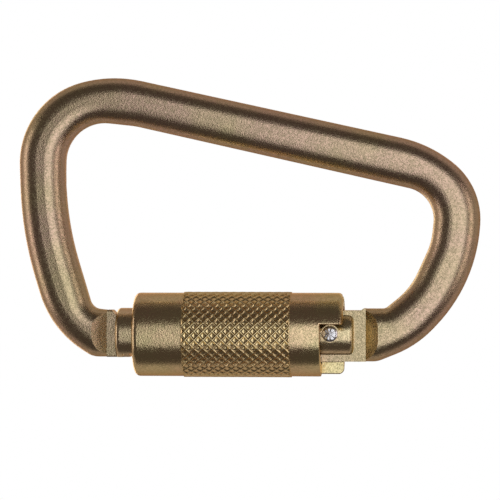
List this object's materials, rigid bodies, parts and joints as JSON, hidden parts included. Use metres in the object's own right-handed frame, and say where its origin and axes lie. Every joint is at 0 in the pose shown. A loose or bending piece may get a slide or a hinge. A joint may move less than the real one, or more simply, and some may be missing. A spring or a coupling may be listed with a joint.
{
  "type": "locking carabiner",
  "caption": "Offset D carabiner of forged steel with an inward-swinging gate and a knurled quarter-turn locking sleeve.",
  "frame": {"origin": "anchor seat: the middle of the inside curve at the wide end, where the anchor ring hangs", "axes": "+X along the gate towards its hinge, +Z from the gate towards the spine, -Y the front face"},
  "size_m": [0.1215, 0.022, 0.0786],
  "materials": {
    "plated_forging": "yellow zinc plating over a peened forging, fine sparkle",
    "plated_rod": "yellow zinc plating over turned bar",
    "plated_sleeve": "yellow zinc plating over a knurled turned sleeve",
    "bright_rivet": "bright zinc, peened head",
    "spring_wire": "drawn spring wire",
    "bush_steel": "turned steel"
  },
  "bodies": {
    "frame": {"body": "plated_forging"},
    "gate": {"gate_rod": "plated_rod", "hinge_rivet": "bright_rivet", "retaining_ring": "spring_wire", "gate_spring": "spring_wire", "sleeve_spring": "spring_wire"},
    "plunger": {"gate_plunger": "plated_rod"},
    "sleeve": {"locking_sleeve": "plated_sleeve", "guide_bush": "bush_steel"}
  },
  "joints": [
    {"name": "gate_hinge", "type": "hinge", "parent": "frame", "child": "gate", "pos_m": [0.06657, 0, -0.05287], "axis": [0, 1, 0], "range_deg": [0, 35], "stiffness_Nm_per_rad": 0.2, "springref_deg": -34.38},
    {"name": "sleeve_twist", "type": "hinge", "parent": "gate", "child": "sleeve", "pos_m": [0.06657, 0, -0.05327], "axis": [-1, 0, 0], "range_deg": [0, 90], "stiffness_Nm_per_rad": 0.02, "springref_deg": -45.84, "deforming": ["sleeve_spring"]},
    {"name": "plunger_slide", "type": "slide", "parent": "gate", "child": "plunger", "axis": [-1, 0, 0], "range_m": [0, 0.0014], "deforming": ["gate_spring"]}
  ],
  "couplings": [
    {"joint": "plunger_slide", "follows": "gate_hinge", "m_per_rad": 0.0021281}
  ]
}
